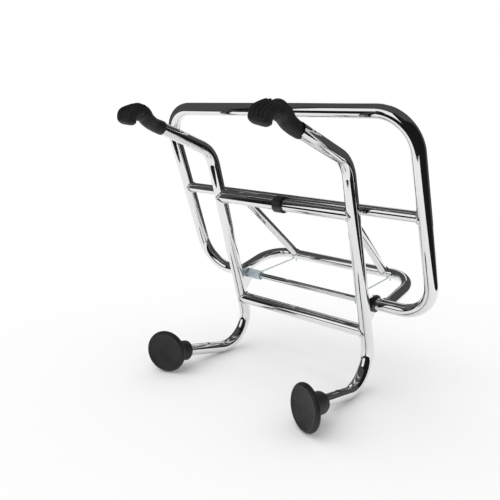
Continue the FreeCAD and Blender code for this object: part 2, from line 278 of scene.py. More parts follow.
# %% Bent tube tree
def shape_tree(name, sizes):
    tree = bpy.data.node_groups.new(name, "GeometryNodeTree")
    tree.interface.new_socket("Path", in_out="INPUT", socket_type="NodeSocketGeometry")
    for label, kind in sizes.items():
        tree.interface.new_socket(label, in_out="INPUT", socket_type="NodeSocket" + kind)
    tree.interface.new_socket("Finish", in_out="INPUT", socket_type="NodeSocketMaterial")
    tree.interface.new_socket("Piece", in_out="OUTPUT", socket_type="NodeSocketGeometry")
    return tree, tree.nodes.new("NodeGroupInput").outputs


def end_tree(tree, shape, finish):
    real = add(tree, "GeometryNodeRealizeInstances", {"Geometry": shape})
    smooth = add(tree, "GeometryNodeSetShadeSmooth", {"Geometry": real.outputs["Geometry"]})
    coat = add(tree, "GeometryNodeSetMaterial", {"Geometry": smooth.outputs["Geometry"], "Material": finish})
    add(tree, "NodeGroupOutput", {"Piece": coat.outputs["Geometry"]})


def bent_tube_tree():
    tree, sizes = shape_tree("Bent tube", {"Radius": "Float", "Sides": "Int", "Bend steps": "Int"})
    chain = add(tree, "GeometryNodeMeshToCurve", {"Mesh": sizes["Path"]})
    bend = add(tree, "GeometryNodeInputNamedAttribute", {"Name": "bend"}, data_type="FLOAT")
    way = add(
        tree,
        "GeometryNodeFilletCurve",
        {"Curve": chain.outputs["Curve"], "Count": sizes["Bend steps"], "Radius": bend.outputs["Attribute"]},
        mode="POLY",
    )
    round_wall = {"Resolution": sizes["Sides"], "Radius": sizes["Radius"]}
    ring = add(tree, "GeometryNodeCurvePrimitiveCircle", round_wall)
    tube = add(
        tree,
        "GeometryNodeCurveToMesh",
        {"Curve": way.outputs["Curve"], "Profile Curve": ring.outputs["Curve"], "Fill Caps": True},
    )
    end_tree(tree, tube.outputs["Mesh"], sizes["Finish"])
    return tree


bent_tube = bent_tube_tree()
print("tree", bent_tube.name, [item.name for item in bent_tube.interface.items_tree])


# %% Run a tree on a chain of corners
SHARP = math.radians(40)


def evaluated_mesh(host):
    bpy.context.view_layer.update()
    return bpy.data.meshes.new_from_object(host.evaluated_get(bpy.context.evaluated_depsgraph_get()))


def linked(name, mesh):
    made = bpy.data.objects.new(name, mesh)
    bpy.context.scene.collection.objects.link(made)
    return made


def chain_mesh(name, points, bends, closed):
    mesh = bpy.data.meshes.new(name)
    count = len(points)
    links = [(i, i + 1) for i in range(count - 1)]
    if closed:
        links.append((count - 1, 0))
    mesh.from_pydata(points, links, [])
    mesh.attributes.new("bend", "FLOAT", "POINT").data.foreach_set("value", bends)
    return mesh


def shaped(name, tree, points, sizes, bends=None, closed=False):
    path = chain_mesh(name + "_path", points, bends or [0.0] * len(points), closed)
    host = linked(name + "_path", path)
    maker = host.modifiers.new("shape", "NODES")
    maker.node_group = tree
    for item in tree.interface.items_tree:
        if item.in_out == "INPUT" and item.name in sizes:
            maker[item.identifier] = sizes[item.name]
    mesh = evaluated_mesh(host)
    mesh.name = name
    bpy.data.objects.remove(host)
    bpy.data.meshes.remove(path)
    mesh.set_sharp_from_angle(angle=SHARP)
    return linked(name, mesh)


TUBE_SIDES = 64
BEND_STEPS = 28


def tube(name, points, bends, radius):
    sizes = {"Radius": radius, "Sides": TUBE_SIDES, "Bend steps": BEND_STEPS, "Finish": chrome}
    return shaped(name, bent_tube, points, sizes, [0.0] + bends + [0.0])


# %% [markdown]
# ## Drilled holes
# The foot tubes have a bolt hole and the bow has a small vent, which lets plating acid out. A hole is cut by a
# Boolean with a drill-sized cylinder that carries a lining of painted shade, so the wall of the hole keeps it. The
# lining is near-black and stands for the dark hollow inside the real tube, since these tubes are solid.


# %% Drilling
DRILL_SIDES = 40


def drill(piece, centre, way, radius, length):
    turn = Vector((0, 0, 1)).rotation_difference(Vector(way)).to_matrix().to_4x4()
    bits = bmesh.new()
    bmesh.ops.create_cone(
        bits, cap_ends=True, segments=DRILL_SIDES, radius1=radius, radius2=radius, depth=length,
        matrix=Matrix.Translation(centre) @ turn,
    )
    mesh = bpy.data.meshes.new("drill")
    bits.to_mesh(mesh)
    bits.free()
    # the drill carries the painted-shade lining into the wall of the hole
    mesh.materials.append(bore_painted_shade)
    bit = linked("drill", mesh)
    cut = piece.modifiers.new("hole", "BOOLEAN")
    cut.object = bit
    cut.solver = "EXACT"
    cut.material_mode = "TRANSFER"
    result = evaluated_mesh(piece)
    piece.modifiers.clear()
    piece.data = result
    result.set_sharp_from_angle(angle=SHARP)
    bpy.data.objects.remove(bit)


# %% [markdown]
# ## The uprights
# Each upright is one tube: the foot, the leaning upright and the arm, which ends out of sight inside the
# rubber. The left one is made from mirrored corners, so that no face is turned inside out, and its cover
# reaches further down the arm than the right one's.

# %% Uprights
TUBE_R = 8 * MM
UPRIGHT_X_LOW = 105 * MM
UPRIGHT_X_TOP = 107 * MM
UPRIGHT_RUN = 308 * MM
ARM_RISE = math.radians(37)
ARM_FLARE = math.radians(2.5)
NECK_RISE = math.radians(55)
HOOK_R = 13.5 * MM
HOOK_V = -105 * MM
HOOK_U = UPRIGHT_RUN + 73 * MM
UPRIGHT_BENDS = [42 * MM, 39 * MM]
COVER_AT = {-1: 86 * MM, 1: 98.5 * MM}
TUCK = 2.5 * MM
PAD_FLOOR = 10 * MM
touch_v = HOOK_V + HOOK_R * math.sin(NECK_RISE)
touch_u = HOOK_U + HOOK_R * math.cos(NECK_RISE)
neck_run = touch_u - UPRIGHT_RUN + touch_v * math.tan(NECK_RISE)
neck_run = neck_run / (math.sin(ARM_RISE) - math.cos(ARM_RISE) * math.tan(NECK_RISE))
hook_x = UPRIGHT_X_TOP + neck_run * math.tan(ARM_FLARE)
SIDES = {"left": -1, "right": 1}


def upright_x(u):
    return UPRIGHT_X_LOW + (UPRIGHT_X_TOP - UPRIGHT_X_LOW) * u / UPRIGHT_RUN


def upright_corners(sign):
    foot_bend = place(sign * UPRIGHT_X_LOW, 0, 0)
    pad = Vector(mounts["right_pad"]["pos_m"])
    pad.x = sign * abs(pad.x)
    foot_end = pad + (foot_bend - pad).normalized() * PAD_FLOOR
    top = place(sign * UPRIGHT_X_TOP, 0, UPRIGHT_RUN)
    neck = place(sign * hook_x, -neck_run * math.cos(ARM_RISE), UPRIGHT_RUN + neck_run * math.sin(ARM_RISE))
    return [foot_end, foot_bend, top, top + (neck - top).normalized() * (COVER_AT[sign] + TUCK)]


for side, sign in SIDES.items():
    piece = tube(side + "_upright_tube", upright_corners(sign), UPRIGHT_BENDS, TUBE_R)
    hole = mounts[side + "_foot_hole"]
    drill(piece, Vector(hole["pos_m"]), hole["axis"], hole["dims"]["r_mm"] * MM, 4 * TUBE_R)
    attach(piece, "frame")
    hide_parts(side + "_upright")
    print(piece.name, len(piece.data.polygons), "faces")

# %% [markdown]
# ## Crossbars and the pivot rod
# The two crossbars are plain lengths that end inside the uprights, where their coped ends can't be seen.
# The shelf's crossbar lies level with the middle one, so one height serves both.

# %% Crossbars and rod
SHELF_BAR_R = 6.5 * MM
REST_GAP = 1.2 * MM
SHELF_BAR_AT = 131 * MM
LOWER_BAR_U = ROD_U - 29 * MM
shelf_bar_v = TUBE_R + REST_GAP + SHELF_BAR_R
loop_tilt = math.asin((ROD_V - shelf_bar_v) / SHELF_BAR_AT)
bar_u = ROD_U + SHELF_BAR_AT * math.cos(loop_tilt)


def straight(name, body, node, first, last, radius):
    piece = tube(name, [first, last], [], radius)
    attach(piece, body)
    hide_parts(node)
    print(piece.name, round((last - first).length / MM, 1), "mm")


for node, u in (("middle_crossbar", bar_u), ("lower_crossbar", LOWER_BAR_U)):
    straight(node + "_tube", "frame", node, place(-upright_x(u), 0, u), place(upright_x(u), 0, u), TUBE_R)
rod_low, rod_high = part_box("pivot_rod")
rod_r = (rod_high.z - rod_low.z) / 2
rod_ends = [Vector((x, hinge.y, hinge.z)) for x in (rod_low.x, rod_high.x)]
straight("pivot_rod_bar", "frame", "pivot_rod", *rod_ends, rod_r)

# %% [markdown]
# ## The folding shelf
# The loop is one tube from hinge to hinge. A lighter bar crosses it, a lighter bow stands out in front of
# the hinge, and two thin struts tie the bow to the bar. They all turn together, so they ride on the shelf.

# %% Shelf loop and crossbar
LOOP_HEIGHT = 249 * MM
LOOP_BENDS = [45 * MM, 44 * MM, 44 * MM, 45 * MM]
loop_x = cad_box[1].x - TUBE_R
BUSH_FLANGE = 2.5 * MM
stub_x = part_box("right_hinge_bush")[0].x + BUSH_FLANGE


def on_loop(x, height):
    return place(x, ROD_V - height * math.sin(loop_tilt), ROD_U + height * math.cos(loop_tilt))


loop_corners = [on_loop(stub_x, 0), on_loop(loop_x, 0), on_loop(loop_x, LOOP_HEIGHT)]
loop_corners += [on_loop(-loop_x, LOOP_HEIGHT), on_loop(-loop_x, 0), on_loop(-stub_x, 0)]
loop = tube("shelf_loop_tube", loop_corners, LOOP_BENDS, TUBE_R)
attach(loop, "shelf")
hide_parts("shelf_loop")
shelf_bar_ends = [on_loop(-loop_x, SHELF_BAR_AT), on_loop(loop_x, SHELF_BAR_AT)]
straight("shelf_crossbar_tube", "shelf", "shelf_crossbar", *shelf_bar_ends, SHELF_BAR_R)

# %% Bow and struts
BOW_R = 7 * MM
BOW_SIDE = 1.8 * MM
BOW_DEPTH = 78.6 * MM
BOW_DROP = 1.6 * MM
BOW_BEND = 36 * MM
VENT_R = 1.4 * MM
VENT_AT = 17 * MM
STRUT_R = 5.5 * MM
STRUT_TOP_X = 85 * MM
STRUT_FOOT_X = 75.5 * MM
bow_x = upright_x(ROD_U) + TUBE_R + BOW_SIDE + BOW_R


def on_bow(x, depth):
    return place(x, ROD_V + depth, ROD_U - BOW_DROP * depth / BOW_DEPTH)


bow_corners = [on_bow(bow_x, 0), on_bow(bow_x, BOW_DEPTH), on_bow(-bow_x, BOW_DEPTH), on_bow(-bow_x, 0)]
bow = tube("support_bow_tube", bow_corners, [BOW_BEND, BOW_BEND], BOW_R)
for sign in SIDES.values():
    inner_wall = on_bow(sign * (bow_x - BOW_R), VENT_AT)
    drill(bow, inner_wall, (1, 0, 0), VENT_R, BOW_R)
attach(bow, "shelf")
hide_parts("support_bow")
for side, sign in SIDES.items():
    top = on_loop(sign * STRUT_TOP_X, SHELF_BAR_AT)
    foot = on_bow(sign * STRUT_FOOT_X, BOW_DEPTH)
    straight(side + "_strut_tube", "shelf", side + "_strut", top, foot, STRUT_R)

# %% [markdown]
# ## Torsion springs
# A close-wound coil sits on the rod beside each bracket. Its tail goes into the bracket and its long leg reaches
# forward under the bow, so it pushes the shelf up. The wire's path is worked out turn by turn and swept as a thin
# bent tube. When the shelf folds, the leg turns and the tail stays; here the wire is swept once, in place, and is
# attached to neither body.

# %% Spring path
WIRE_R = 1 * MM
WIRE_SIDES = 16
WIRE_BEND_STEPS = 8
COIL_GAP = 0.2 * MM
COIL_MEAN = 5.75 * MM
COIL_TURNS = 10
COIL_PITCH = 2.1 * MM
LEG_GAP = 0.3 * MM
LEG_BEND = 2.5 * MM
TAIL_PAST = 4 * MM
TAIL_BACK = 1.5 * MM
TAIL_DOWN = 5.5 * MM
POINTS_PER_TURN = 32
bracket_low, bracket_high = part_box("right_hinge_bracket")
coil_out = bracket_low.x - COIL_GAP - WIRE_R
under_u = ROD_U - BOW_DROP - BOW_R - LEG_GAP - WIRE_R
leg_slope = math.atan2(under_u - ROD_U, BOW_DEPTH)
leg_turn = math.asin(COIL_MEAN / math.hypot(BOW_DEPTH, under_u - ROD_U))
leave = leg_slope + math.pi / 2 - leg_turn
turns = COIL_TURNS + (math.pi - leave) / (2 * math.pi)
coil_in = coil_out - turns * COIL_PITCH


def spring_path(sign):
    tail_x = (bracket_low.x + bracket_high.x) / 2
    points = [place(sign * tail_x, ROD_V - COIL_MEAN, ROD_U)]
    bends = [0.0]
    steps = int(turns * POINTS_PER_TURN)
    for i in range(steps + 1):
        angle = math.pi - 2 * math.pi * turns * i / steps
        x = coil_out - turns * COIL_PITCH * i / steps
        v, u = COIL_MEAN * math.cos(angle), COIL_MEAN * math.sin(angle)
        points.append(place(sign * x, ROD_V + v, ROD_U + u))
        bends.append(0.0)
    leg_end = place(sign * coil_in, ROD_V + BOW_DEPTH + TAIL_PAST, under_u)
    tip = place(sign * coil_in, ROD_V + BOW_DEPTH + TAIL_PAST - TAIL_BACK, under_u - TAIL_DOWN)
    return points + [leg_end, tip], bends + [LEG_BEND, 0.0]


# %% Springs
for side, sign in SIDES.items():
    points, bends = spring_path(sign)
    sizes = {"Radius": WIRE_R, "Sides": WIRE_SIDES, "Bend steps": WIRE_BEND_STEPS, "Finish": zinc}
    spring = shaped(side + "_spring_wire", bent_tube, points, sizes, bends)
    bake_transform(spring)
    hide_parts(side + "_torsion_spring")
    print(spring.name, len(points), "points", len(spring.data.polygons), "faces")

# %% [markdown]
# ## Weld beads
# Each bar is welded where it meets another, and the plating makes the weld a bright, rippled ring. The
# ring follows the line where two round bars meet, which has a formula, and Geometry Nodes sweeps a small
# bead along it and gives it the ripple of a hand-laid weld.


# %% Weld bead tree
BEAD_STEPS = 120
BEAD_SIDES = 12


def weld_tree():
    sizes = {"Bead": "Float", "Ripple": "Float", "Ripples": "Float"}
    tree, given = shape_tree("Weld bead", sizes)
    chain = add(tree, "GeometryNodeMeshToCurve", {"Mesh": given["Path"]})
    even = add(tree, "GeometryNodeResampleCurve", {"Curve": chain.outputs["Curve"], "Count": BEAD_STEPS})
    along = add(tree, "GeometryNodeSplineParameter")
    keep = add(
        tree,
        "GeometryNodeStoreNamedAttribute",
        {"Geometry": even.outputs["Curve"], "Name": "along", "Value": along.outputs["Factor"]},
        domain="POINT",
        data_type="FLOAT",
    )
    ring = add(tree, "GeometryNodeCurvePrimitiveCircle", {"Resolution": BEAD_SIDES, "Radius": given["Bead"]})
    bead = add(
        tree,
        "GeometryNodeCurveToMesh",
        {"Curve": keep.outputs["Geometry"], "Profile Curve": ring.outputs["Curve"]},
    )
    share = add(tree, "GeometryNodeInputNamedAttribute", {"Name": "along"}, data_type="FLOAT")
    far = share.outputs["Attribute"]
    turn = add(tree, "ShaderNodeMath", {0: far, 1: given["Ripples"]}, operation="MULTIPLY")
    wave = add(tree, "ShaderNodeMath", {0: turn.outputs[0]}, operation="SINE")
    rough = add(tree, "ShaderNodeTexNoise", {"Scale": 420.0, "Detail": 1.0})
    total = add(tree, "ShaderNodeMath", {0: wave.outputs[0], 1: rough.outputs["Fac"]}, operation="ADD")
    height = add(tree, "ShaderNodeMath", {0: total.outputs[0], 1: given["Ripple"]}, operation="MULTIPLY")
    normal = add(tree, "GeometryNodeInputNormal")
    push = add(tree, "ShaderNodeVectorMath", {0: normal.outputs["Normal"]}, operation="SCALE")
    tree.links.new(height.outputs[0], push.inputs["Scale"])
    offset = {"Geometry": bead.outputs["Mesh"], "Offset": push.outputs[0]}
    moved = add(tree, "GeometryNodeSetPosition", offset)
    end_tree(tree, moved.outputs["Geometry"], given["Finish"])
    return tree


weld_bead = weld_tree()


# %% Line where two round bars meet
def meeting_line(start, main_way, main_r, branch_way, branch_r, count=96):
    main_way = main_way.normalized()
    branch_way = branch_way.normalized()
    first = (main_way - branch_way * main_way.dot(branch_way)).normalized()
    second = branch_way.cross(first)
    points = []
    for i in range(count):
        angle = 2 * math.pi * i / count
        ring = (first * math.cos(angle) + second * math.sin(angle)) * branch_r
        across = ring - main_way * ring.dot(main_way)
        climb = branch_way - main_way * branch_way.dot(main_way)
        a = climb.length_squared
        b = across.dot(climb)
        c = across.length_squared - main_r ** 2
        points.append(start + ring + branch_way * ((-b + math.sqrt(max(b * b - a * c, 0))) / a))
    return points


BEAD_R = 1.7 * MM
RIPPLE_HEIGHT = 0.13 * MM
RIPPLE_SIZE = 0.35 * MM


def weld(name, body, start, main_way, main_r, branch_way, branch_r):
    points = meeting_line(start, main_way, main_r, branch_way, branch_r)
    ripples = round(branch_r / RIPPLE_SIZE) * 2 * math.pi
    sizes = {"Bead": BEAD_R, "Ripple": RIPPLE_HEIGHT, "Ripples": ripples, "Finish": weld_metal}
    bead = shaped(name, weld_bead, points, sizes, closed=True)
    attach(bead, body)


# %% Lay the welds
for side, sign in SIDES.items():
    inward = Vector((-sign, 0, 0))
    up = place(sign * UPRIGHT_X_TOP, 0, UPRIGHT_RUN) - place(sign * UPRIGHT_X_LOW, 0, 0)
    loop_up = on_loop(sign * loop_x, LOOP_HEIGHT) - on_loop(sign * loop_x, 0)
    strut_top = on_loop(sign * STRUT_TOP_X, SHELF_BAR_AT)
    strut_foot = on_bow(sign * STRUT_FOOT_X, BOW_DEPTH)
    forward = on_bow(sign * bow_x, BOW_DEPTH) - on_bow(sign * bow_x, 0)
    middle, lower = [place(sign * upright_x(u), 0, u) for u in (bar_u, LOWER_BAR_U)]
    seams = [
        ("middle_bar", "frame", middle, up, TUBE_R, inward, TUBE_R),
        ("lower_bar", "frame", lower, up, TUBE_R, inward, TUBE_R),
        ("shelf_bar", "shelf", on_loop(sign * loop_x, SHELF_BAR_AT), loop_up, TUBE_R, inward, SHELF_BAR_R),
        ("strut_top", "shelf", strut_top, inward, SHELF_BAR_R, strut_foot - strut_top, STRUT_R),
        ("strut_foot", "shelf", strut_foot, inward, BOW_R, strut_top - strut_foot, STRUT_R),
        ("bow_arm", "shelf", on_bow(sign * bow_x, 0), inward, TUBE_R, forward, BOW_R),
    ]
    for label, *where in seams:
        weld(side + "_" + label + "_weld", *where)
    print(side, len(seams), "welds")

# %% [markdown]
# ## Rubber hook covers
# Each cover is a snug sleeve on the end of the arm that swells to a knuckle over the crest, with a broad
# claw in front that hangs over the legshield's edge. The claw sits inwards of the sleeve, and shallow ribs
# run over its back and stop short of its end. The covers are pushed on by hand, so each sits a little
# differently along its arm and is turned a little on it. Both are drawn on the right-hand arm, and the
# left one is then mirrored. Sleeve and claw are made apart, then joined and remeshed with fine voxels,
# so that they flow together like a soft moulding.

# %% Claw shape
CLAW_V = 18.6 * MM
CLAW_U = 21.5 * MM
CLAW_BACK = 5 * MM
CLAW_THICK = 11 * MM
CLAW_HALF = 12.5 * MM
CLAW_SQUARE = 0.56
CLAW_INWARD = 9.5 * MM
CLAW_FROM = math.radians(66)
CLAW_TO = math.radians(178.3)
CLAW_CORNER = 5 * MM
RIB_COUNT = 5
RIB_DEPTH = 1.6 * MM
RIB_STOP = 6 * MM
RIB_FADE = 2.4 * MM
GROOVE_SHARE = 0.36
CLAW_STEPS = 110
CLAW_ACROSS = 72
INNER_PINCH = 0.6
INNER_CORNER = 2.5 * MM
HOOK_LIFT = {-1: -3 * MM, 1: 1.45 * MM}
HOOK_ROLL = {-1: math.radians(-5), 1: math.radians(12)}


def on_claw(sign, across, depth, angle):
    ahead = math.copysign(abs(math.cos(angle)) ** CLAW_SQUARE, math.cos(angle))
    v = HOOK_V - CLAW_BACK + (CLAW_V - depth) * ahead
    u = (CLAW_U - depth) * math.sin(angle) ** CLAW_SQUARE
    middle = CLAW_U / 2
    turn = HOOK_ROLL[sign]
    x = across * math.cos(turn) + (u - middle) * math.sin(turn)
    u = middle + (u - middle) * math.cos(turn) - across * math.sin(turn)
    return place(hook_x - CLAW_INWARD + x, v, HOOK_U + HOOK_LIFT[sign] + u)


def rounded(distance, corner):
    inside = max(0.0, 1 - distance / corner)
    return corner * (1 - math.sqrt(max(0.0, 1 - inside * inside)))


def groove(across, left):
    pitch = 2 * CLAW_HALF / RIB_COUNT
    nearest = round((across + CLAW_HALF) / pitch)
    if nearest < 1 or nearest >= RIB_COUNT:
        return 0.0
    offset = abs(across + CLAW_HALF - nearest * pitch) / (GROOVE_SHARE * pitch)
    fade = min(1.0, max(0.0, (left - RIB_STOP) / RIB_FADE))
    return RIB_DEPTH * fade * max(0.0, 1 - offset * offset)


def claw_ring(sign, angle):
    left = (CLAW_TO - angle) * CLAW_U
    pinch = rounded(left, CLAW_CORNER)
    half = CLAW_HALF - pinch
    outer = []
    inner = []
    for i in range(CLAW_ACROSS + 1):
        across = half * (2 * i / CLAW_ACROSS - 1)
        edge = half - abs(across)
        high = pinch + rounded(edge, CLAW_CORNER) + groove(across, left)
        low = CLAW_THICK - INNER_PINCH * pinch - rounded(edge, INNER_CORNER)
        outer.append(on_claw(sign, across, high, angle))
        inner.append(on_claw(sign, across, low, angle))
    return outer + inner[::-1]


def claw_rings(sign):
    step = (CLAW_TO - CLAW_FROM) / CLAW_STEPS
    return [claw_ring(sign, CLAW_FROM + step * i) for i in range(CLAW_STEPS + 1)]


print("claw", len(claw_rings(1)), "rings of", len(claw_ring(1, CLAW_FROM)))


# %% [markdown]
# ## Skin over rings
# Rings of points become a closed skin in one helper, which the foot pads and the clip use as well.


# %% Skin over rings
def skin(name, rings):
    count = len(rings[0])
    points = [point for ring in rings for point in ring]
    faces = []
    for row in range(len(rings) - 1):
        for i in range(count):
            j = (i + 1) % count
            faces.append((row * count + i, row * count + j, (row + 1) * count + j, (row + 1) * count + i))
    faces.append(tuple(range(count)))
    faces.append(tuple((len(rings) - 1) * count + i for i in range(count)))
    mesh = bpy.data.meshes.new(name)
    mesh.from_pydata(points, [], faces)
    return mesh


WELD_DISTANCE = 0.001 * MM


def outward(mesh, shape_angle):
    work = bmesh.new()
    work.from_mesh(mesh)
    bmesh.ops.remove_doubles(work, verts=work.verts, dist=WELD_DISTANCE)
    bmesh.ops.recalc_face_normals(work, faces=work.faces)
    for face in work.faces:
        face.smooth = True
    work.to_mesh(mesh)
    work.free()
    mesh.set_sharp_from_angle(angle=shape_angle)


def joined(name, meshes):
    work = bmesh.new()
    for mesh in meshes:
        work.from_mesh(mesh)
    bmesh.ops.recalc_face_normals(work, faces=work.faces)
    whole = bpy.data.meshes.new(name)
    work.to_mesh(whole)
    work.free()
    return whole


def mirrored(name, mesh):
    copy = mesh.copy()
    copy.name = name
    copy.transform(Matrix.Diagonal((-1, 1, 1, 1)))
    copy.flip_normals()
    return copy


# %% Sleeve
SLEEVE_R = [8.8 * MM, 8.4 * MM, 9.1 * MM, 10 * MM, 10.4 * MM]
SLEEVE_X = [110 * MM, 107.5 * MM, 106.5 * MM, 106.5 * MM]
SLEEVE_V = [-80.5 * MM, -89.3 * MM, -94.2 * MM, -101 * MM]
SLEEVE_U = [UPRIGHT_RUN + rise * MM for rise in (60, 69.4, 78.5, 84.2)]
SLEEVE_LIFT = [0, 0.3, 0.6, 1]
SLEEVE_STEPS = 12
SLEEVE_SIDES = 64
DOME_STEPS = 10


def smooth_step(a, b, c, d, t):
    slope = (c - a) * t
    curve = (a * 2 - b * 5 + c * 4 - d) * t * t
    return (b * 2 + slope + curve + (b * 3 - a - c * 3 + d) * t ** 3) / 2


def sleeve_line(sign):
    top, arm_end = upright_corners(1)[2:4]
    way = (arm_end - top).normalized()
    stops = [top + way * COVER_AT[sign]]
    for x, v, u, share in zip(SLEEVE_X, SLEEVE_V, SLEEVE_U, SLEEVE_LIFT):
        stops.append(place(x, v, u + share * HOOK_LIFT[sign]))
    stops = [stops[0] * 2 - stops[1]] + stops + [stops[-1] * 2 - stops[-2]]
    line = []
    for i in range(len(SLEEVE_R) - 1):
        for k in range(SLEEVE_STEPS):
            t = k / SLEEVE_STEPS
            radius = SLEEVE_R[i] + (SLEEVE_R[i + 1] - SLEEVE_R[i]) * t
            line.append((smooth_step(*stops[i:i + 4], t), radius))
    return line + [(stops[-2], SLEEVE_R[-1])]


def sleeve_rings(sign):
    line = sleeve_line(sign)
    rings = []
    for i, (centre, radius) in enumerate(line):
        ahead = line[min(i + 1, len(line) - 1)][0] - line[max(i - 1, 0)][0]
        way = ahead.normalized()
        across = way.cross(Vector((1, 0, 0))).normalized()
        upward = way.cross(across)
        turns = [2 * math.pi * k / SLEEVE_SIDES for k in range(SLEEVE_SIDES)]
        rings.append([centre + (across * math.cos(t) + upward * math.sin(t)) * radius for t in turns])
    last = line[-1][0]
    for step in range(1, DOME_STEPS):
        tip = math.pi / 2 * step / DOME_STEPS
        push = way * SLEEVE_R[-1] * math.sin(tip)
        rings.append([last + push + (point - last) * math.cos(tip) for point in rings[len(line) - 1]])
    return rings


# %% Join and soften
VOXEL = 0.5 * MM
SOFTEN = 0.5
SOFTEN_ROUNDS = 6
for side, sign in SIDES.items():
    halves = [skin("sleeve", sleeve_rings(sign)), skin("claw", claw_rings(sign))]
    rough = joined(side + "_hook_rubber", halves)
    host = linked("hook_cover", rough if sign > 0 else mirrored(side + "_hook_rough", rough))
    one_skin = host.modifiers.new("one skin", "REMESH")
    one_skin.mode = "VOXEL"
    one_skin.voxel_size = VOXEL
    soften = host.modifiers.new("soften", "SMOOTH")
    soften.factor = SOFTEN
    soften.iterations = SOFTEN_ROUNDS
    mesh = evaluated_mesh(host)
    bpy.data.objects.remove(host)
    mesh.materials.clear()
    mesh.materials.append(rubber)
    mesh.shade_smooth()
    piece = linked(side + "_hook_rubber", mesh)
    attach(piece, "frame")
    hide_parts(side + "_hook_cover")
    print(piece.name, len(mesh.polygons), "faces")

# %% [markdown]
# ## Foot pads
# A pad is a dished rubber disc on a thick neck that slips over the foot. Both are turned shapes: rings
# about an axis. The neck meets the disc at an angle, so its first ring is laid in the plane of the disc.

# %% Pad profiles
PAD_R = 28 * MM
PAD_DISH = 4 * MM
PAD_REACH = 4.5 * MM
DISH_STEPS = 16
DISH_EDGE = 0.9 * MM
LIP_IN = 22.5 * MM
LIP_AT = (24.4 * MM, -2.2 * MM)
LIP_ROUND = 2.2 * MM
RIM_LOW = 0.6 * MM
BACK_EDGE = (24.5 * MM, -7.4 * MM)
BACK_SLOPE = 8.4 * MM
PAD_BACK = 9 * MM
PAD_NECK_R = 13.5 * MM
NECK_LENGTH = 40 * MM
NECK_ROUND = 5.5 * MM
NECK_FROM = 24 * MM
NECK_SUNK = 6 * MM
RIM_ROUND = 3.2 * MM
PAD_SIDES = 96


def arc(centre, radius, start, end, steps):
    turns = [math.radians(start + (end - start) * i / steps) for i in range(steps + 1)]
    return [(centre[0] + radius * math.cos(t), centre[1] + radius * math.sin(t)) for t in turns]


disc_profile = [(0.05 * MM, -PAD_DISH)]
for i in range(1, DISH_STEPS + 1):
    out = LIP_IN * i / DISH_STEPS
    disc_profile.append((out, -PAD_DISH + (PAD_DISH - DISH_EDGE) * (out / LIP_IN) ** 2))
disc_profile += arc(LIP_AT, LIP_ROUND, 118, 75, 6)
disc_profile += arc((PAD_R - RIM_ROUND, -RIM_LOW - RIM_ROUND), RIM_ROUND, 70, -35, 12)
disc_profile += [BACK_EDGE, (PAD_NECK_R + 2 * MM, -BACK_SLOPE), (PAD_NECK_R - 3 * MM, -PAD_BACK)]
pad_mount = mounts["right_pad"]
pad_centre = Vector(pad_mount["pos_m"])
pad_way = Vector(pad_mount["axis"]).normalized()
foot_way = (pad_centre - place(UPRIGHT_X_LOW, 0, 0)).normalized()
pad_centre = pad_centre + foot_way * PAD_REACH


def ring_about(centre, way, radius):
    across = way.cross(Vector((0, 0, 1))).normalized()
    upward = across.cross(way)
    turns = [2 * math.pi * i / PAD_SIDES for i in range(PAD_SIDES)]
    return [centre + (across * math.cos(t) + upward * math.sin(t)) * radius for t in turns]


disc_rings = [ring_about(pad_centre + pad_way * along, pad_way, out) for out, along in disc_profile]
neck_end = (PAD_NECK_R - NECK_ROUND, NECK_LENGTH - NECK_ROUND)
neck_profile = [(PAD_NECK_R, NECK_FROM)] + arc(neck_end, NECK_ROUND, 0, 90, 10)
neck_rings = [ring_about(pad_centre - foot_way * back, foot_way, out) for out, back in neck_profile]
plane_at = pad_centre - pad_way * NECK_SUNK
slant_ring = []
for point in neck_rings[0]:
    slant_ring.append(point + foot_way * ((plane_at - point).dot(pad_way) / foot_way.dot(pad_way)))
neck_rings.insert(0, slant_ring)

# %% Foot pads
pad_mesh = joined("right_foot_rubber", [skin("disc", disc_rings), skin("neck", neck_rings)])
pad_mesh.materials.append(rubber)
PAD_SHARP = math.radians(50)
outward(pad_mesh, PAD_SHARP)
for side, mesh in (("right", pad_mesh), ("left", mirrored("left_foot_rubber", pad_mesh))):
    piece = linked(side + "_foot_rubber", mesh)
    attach(piece, "frame")
    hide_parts(side + "_foot_pad")
    print(piece.name, len(mesh.polygons), "faces")

# %% [markdown]
# ## Latch clip
# The clip hugs the back of the middle crossbar. Its upper arm ends on top of that bar, and its lower arm
# runs on under the shelf crossbar to a small lip, so its outline is drawn as one open hook.

# %% Latch clip
CLIP_WALL = 2.6 * MM
CLIP_GAP = 0.5 * MM
CLIP_LIP = 4 * MM
CLIP_FLARE = 2 * MM
CLIP_ENDS = (-7 * MM, 5.6 * MM)
CLIP_TOP = 74
CLIP_BOTTOM = 270
CLIP_JAW = 135
CLIP_SHARP = math.radians(35)
jaw_r = SHELF_BAR_R + CLIP_GAP
clip_r = TUBE_R + CLIP_WALL
lip_v = shelf_bar_v + CLIP_LIP
clip_outline = arc((0, 0), clip_r, CLIP_TOP, CLIP_BOTTOM, 28)
clip_outline += [(shelf_bar_v, -jaw_r - CLIP_WALL), (lip_v, -jaw_r - CLIP_WALL - CLIP_FLARE)]
clip_outline += [(lip_v, -jaw_r - CLIP_FLARE)] + arc((shelf_bar_v, 0), jaw_r, CLIP_BOTTOM, CLIP_JAW, 16)
clip_mesh = skin("clip_hook", [[place(x, v, bar_u + u) for v, u in clip_outline] for x in CLIP_ENDS])
clip_mesh.materials.append(plastic)
outward(clip_mesh, CLIP_SHARP)
clip = linked("clip_hook", clip_mesh)
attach(clip, "frame")
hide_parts("latch_clip")
print("clip", len(clip_mesh.polygons), "faces")

# %% [markdown]
# ## Finishes on the carried-over solids
# The bushes and the brackets already have the right shape, so they only take their finish.

# %% Dress the solids
for side in SIDES:
    for label, finish in (("hinge_bracket", chrome), ("hinge_bush", plastic)):
        solid = nodes[side + "_" + label]
        solid.data.materials.clear()
        solid.data.materials.append(finish)

